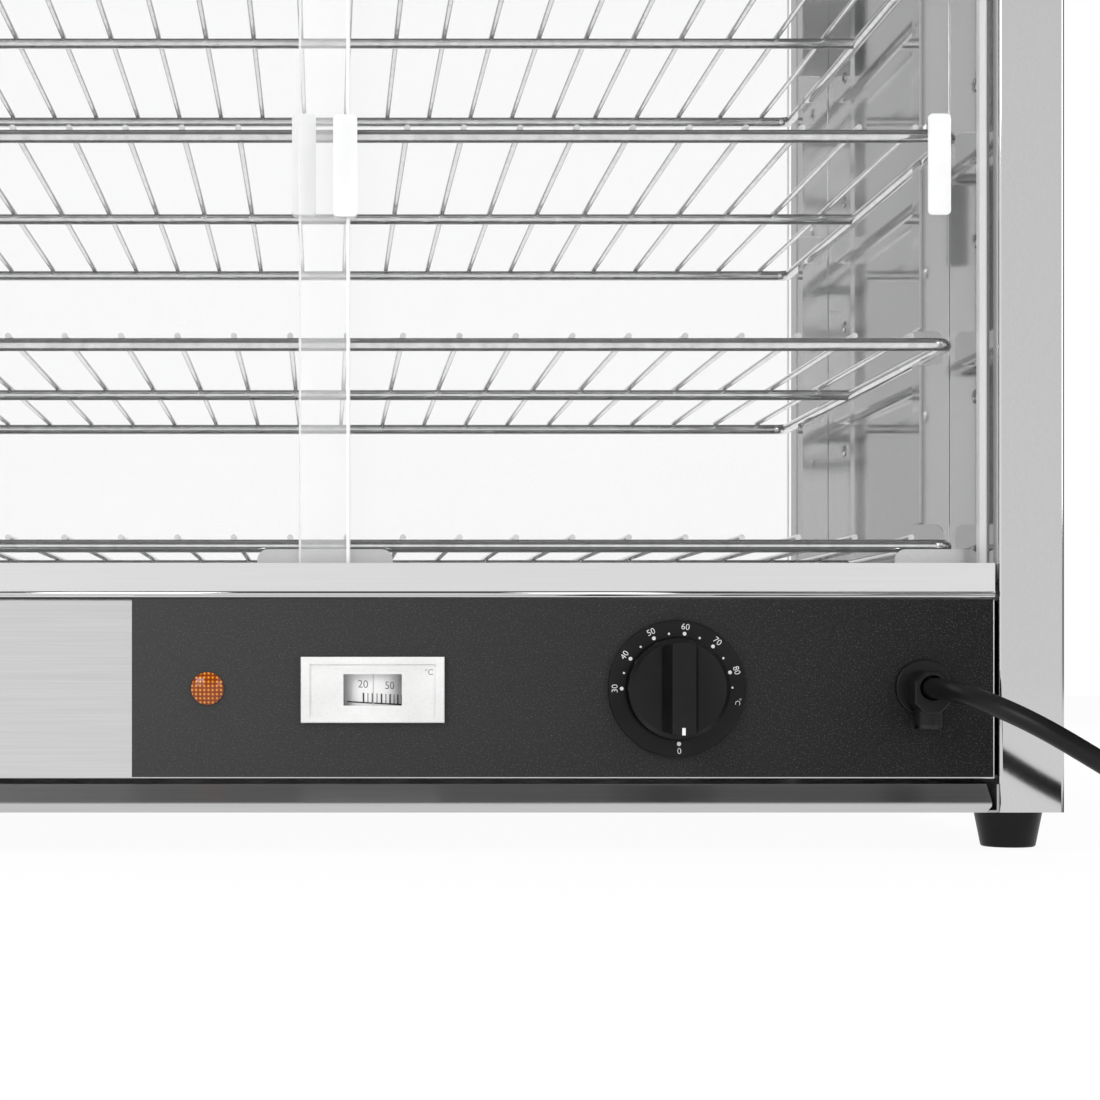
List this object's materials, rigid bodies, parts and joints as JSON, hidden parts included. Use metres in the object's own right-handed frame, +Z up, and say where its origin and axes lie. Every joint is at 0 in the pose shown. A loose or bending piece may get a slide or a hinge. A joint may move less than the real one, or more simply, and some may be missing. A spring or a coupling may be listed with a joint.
{
  "type": "pie warmer",
  "caption": "Countertop heated display cabinet with sliding glass doors, wire racks, a dial thermostat, a thermometer and a pull-out crumb tray.",
  "frame": {"origin": "on the table under the middle of the cabinet's bounding box, cord left out", "axes": "+X to the right seen from the operator's side, +Y to the customer's side, +Z up"},
  "size_m": [0.844, 0.5711, 0.61],
  "materials": {
    "satin_steel": "satin brushed stainless steel",
    "polished_steel": "mirror-polished stainless steel",
    "bright_wire": "bright chromium plate",
    "galvanised_steel": "dull zinc",
    "black_overlay": "fine speckled satin black",
    "glass": "clear polished",
    "clear_grip": "translucent white, satin",
    "black_rubber": "matt",
    "black_plastic": "fine satin",
    "amber_lens": "glossy amber",
    "white_plastic": "smooth satin white",
    "scale_white": "matt white",
    "clear_window": "clear",
    "heater_sheath": "dull oxidised",
    "brass": "satin",
    "wire_insulation": "matt"
  },
  "bodies": {
    "cabinet": {"base_rail_left": "galvanised_steel", "base_rail_right": "galvanised_steel", "canopy": "satin_steel", "capillary_probes": "brass", "ceiling_liner": "polished_steel", "control_box": "galvanised_steel", "cord_coil": "black_rubber", "dial_ring": "black_plastic", "element_hangers": "galvanised_steel", "fascia_overlay": "black_overlay", "foot_front_left": "black_rubber", "foot_front_right": "black_rubber", "foot_rear_left": "black_rubber", "foot_rear_right": "black_rubber", "foot_screws": "galvanised_steel", "front_fascia": "satin_steel", "front_head_track": "satin_steel", "front_sill_track": "satin_steel", "gland_body": "black_plastic", "gland_hardware": "galvanised_steel", "heat_deflector": "satin_steel", "heating_element": "heater_sheath", "pilot_body": "black_plastic", "pilot_lens": "amber_lens", "plug_body": "black_plastic", "plug_pins": "brass", "post_rivets": "polished_steel", "power_cord": "black_rubber", "rack_1": "bright_wire", "rack_2": "bright_wire", "rack_3": "bright_wire", "rack_4": "bright_wire", "rack_post_front_left": "polished_steel", "rack_post_front_right": "polished_steel", "rack_post_rear_left": "polished_steel", "rack_post_rear_right": "polished_steel", "rear_fascia": "satin_steel", "rear_glass": "glass", "rear_head_channel": "satin_steel", "rear_sill_channel": "satin_steel", "side_panel_left": "satin_steel", "side_panel_right": "satin_steel", "terminal_block": "white_plastic", "thermometer_case": "white_plastic", "thermometer_window": "clear_window", "thermostat_body": "galvanised_steel", "tray_runner_left": "galvanised_steel", "tray_runner_right": "galvanised_steel", "wall_liner_left": "polished_steel", "wall_liner_right": "polished_steel", "wiring": "wire_insulation"},
    "left_door": {"left_door_glass": "glass", "left_door_grips": "clear_grip"},
    "right_door": {"right_door_glass": "glass", "right_door_grips": "clear_grip"},
    "knob": {"thermostat_knob": "black_plastic", "thermostat_spindle": "galvanised_steel"},
    "crumb_tray": {"crumb_tray": "satin_steel"},
    "thermometer_drum": {"thermometer_drum": "scale_white"}
  },
  "joints": [
    {"name": "left_door_slide", "type": "slide", "parent": "cabinet", "child": "left_door", "axis": [1, 0, 0], "range_m": [0, 0.285]},
    {"name": "right_door_slide", "type": "slide", "parent": "cabinet", "child": "right_door", "axis": [1, 0, 0], "range_m": [-0.2845, 0]},
    {"name": "knob_turn", "type": "hinge", "parent": "cabinet", "child": "knob", "pos_m": [0.1565, -0.227, 0.0728], "axis": [0, 1, 0], "range_deg": [0, 270]},
    {"name": "crumb_tray_slide", "type": "slide", "parent": "cabinet", "child": "crumb_tray", "axis": [0, -1, 0], "range_m": [0, 0.4]},
    {"name": "thermometer_reading", "type": "hinge", "parent": "cabinet", "child": "thermometer_drum", "pos_m": [0.0212, -0.2058, 0.0722], "axis": [0, 0, -1], "range_deg": [-11.6, 104.4]}
  ]
}
